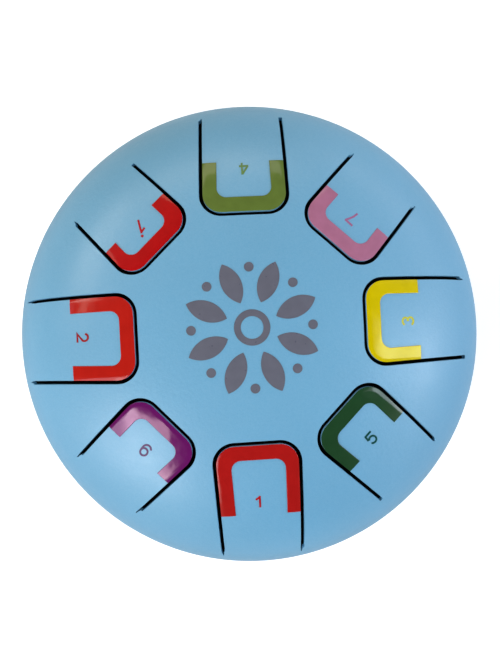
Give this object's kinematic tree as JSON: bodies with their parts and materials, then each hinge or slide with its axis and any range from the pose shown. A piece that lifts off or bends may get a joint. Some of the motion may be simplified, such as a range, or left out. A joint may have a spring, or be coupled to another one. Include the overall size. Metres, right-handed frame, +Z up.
{
  "type": "steel tongue drum",
  "caption": "Small domed steel tongue drum with flexing cut tongues, coloured note marks and digits, a bowl base with a sound hole, and push-in rubber feet.",
  "frame": {"origin": "on the table, at the centre of the ring of feet and of the round rim", "axes": "+Z up through the crown; note 1 points to -Y, towards the player; note 3 points to +X"},
  "size_m": [0.1523, 0.1522, 0.0851],
  "materials": {
    "shell_paint": "satin light-blue paint with a fine pearl grain, over steel sheet",
    "foot_rubber": "matt black moulded rubber",
    "decal_grey": "satin grey vinyl",
    "mark_red": "glossy red vinyl",
    "mark_yellow": "glossy yellow vinyl",
    "mark_olive": "glossy olive-green vinyl",
    "mark_green": "glossy dark green vinyl",
    "mark_purple": "glossy purple vinyl",
    "mark_pink": "glossy pink vinyl"
  },
  "bodies": {
    "drum_shell": {"top_shell": "shell_paint", "bottom_shell": "shell_paint", "rim_weld": "shell_paint", "foot_1": "foot_rubber", "foot_2": "foot_rubber", "foot_3": "foot_rubber", "foot_4": "foot_rubber", "emblem": "decal_grey"},
    "note_1": {"tongue_1": "shell_paint", "mark_1": "mark_red", "digit_1": "mark_red"},
    "note_2": {"tongue_2": "shell_paint", "mark_2": "mark_red", "digit_2": "mark_red"},
    "note_3": {"tongue_3": "shell_paint", "mark_3": "mark_yellow", "digit_3": "mark_yellow"},
    "note_4": {"tongue_4": "shell_paint", "mark_4": "mark_olive", "digit_4": "mark_olive"},
    "note_5": {"tongue_5": "shell_paint", "mark_5": "mark_green", "digit_5": "mark_green"},
    "note_6": {"tongue_6": "shell_paint", "mark_6": "mark_purple", "digit_6": "mark_purple"},
    "note_7": {"tongue_7": "shell_paint", "mark_7": "mark_pink", "digit_7": "mark_pink"},
    "note_8": {"tongue_8": "shell_paint", "mark_8": "mark_red", "digit_8": "mark_red"}
  },
  "joints": [
    {"name": "note_1_flex", "type": "hinge", "parent": "drum_shell", "child": "note_1", "pos_m": [0.00014, -0.07, 0.06218], "axis": [0.9999, 0.011, 0], "range_deg": [-0.6, 0.6], "stiffness_Nm_per_rad": 1.1567, "springref_deg": 0.07},
    {"name": "note_2_flex", "type": "hinge", "parent": "drum_shell", "child": "note_2", "pos_m": [-0.06959, -0.00003, 0.06271], "axis": [0.002, -1, 0], "range_deg": [-0.6, 0.6], "stiffness_Nm_per_rad": 1.1024, "springref_deg": 0.07},
    {"name": "note_3_flex", "type": "hinge", "parent": "drum_shell", "child": "note_3", "pos_m": [0.0677, 0.00054, 0.065], "axis": [0.011, 0.9999, 0], "range_deg": [-0.6, 0.6], "stiffness_Nm_per_rad": 0.9019, "springref_deg": 0.08},
    {"name": "note_4_flex", "type": "hinge", "parent": "drum_shell", "child": "note_4", "pos_m": [0.00027, 0.0677, 0.06498], "axis": [-0.9999, 0.01, 0], "range_deg": [-0.6, 0.6], "stiffness_Nm_per_rad": 0.8757, "springref_deg": 0.08},
    {"name": "note_5_flex", "type": "hinge", "parent": "drum_shell", "child": "note_5", "pos_m": [0.04712, -0.04663, 0.06645], "axis": [0.7071, 0.7071, 0], "range_deg": [-0.6, 0.6], "stiffness_Nm_per_rad": 0.6571, "springref_deg": 0.09},
    {"name": "note_6_flex", "type": "hinge", "parent": "drum_shell", "child": "note_6", "pos_m": [-0.0463, -0.0453, 0.06783], "axis": [0.6827, -0.7307, 0], "range_deg": [-0.6, 0.6], "stiffness_Nm_per_rad": 0.472, "springref_deg": 0.1},
    {"name": "note_7_flex", "type": "hinge", "parent": "drum_shell", "child": "note_7", "pos_m": [0.0438, 0.04457, 0.06969], "axis": [-0.7232, 0.6907, 0], "range_deg": [-0.6, 0.6], "stiffness_Nm_per_rad": 0.434, "springref_deg": 0.11},
    {"name": "note_8_flex", "type": "hinge", "parent": "drum_shell", "child": "note_8", "pos_m": [-0.04373, 0.04505, 0.06945], "axis": [-0.7294, -0.6841, 0], "range_deg": [-0.6, 0.6], "stiffness_Nm_per_rad": 0.4195, "springref_deg": 0.11}
  ]
}
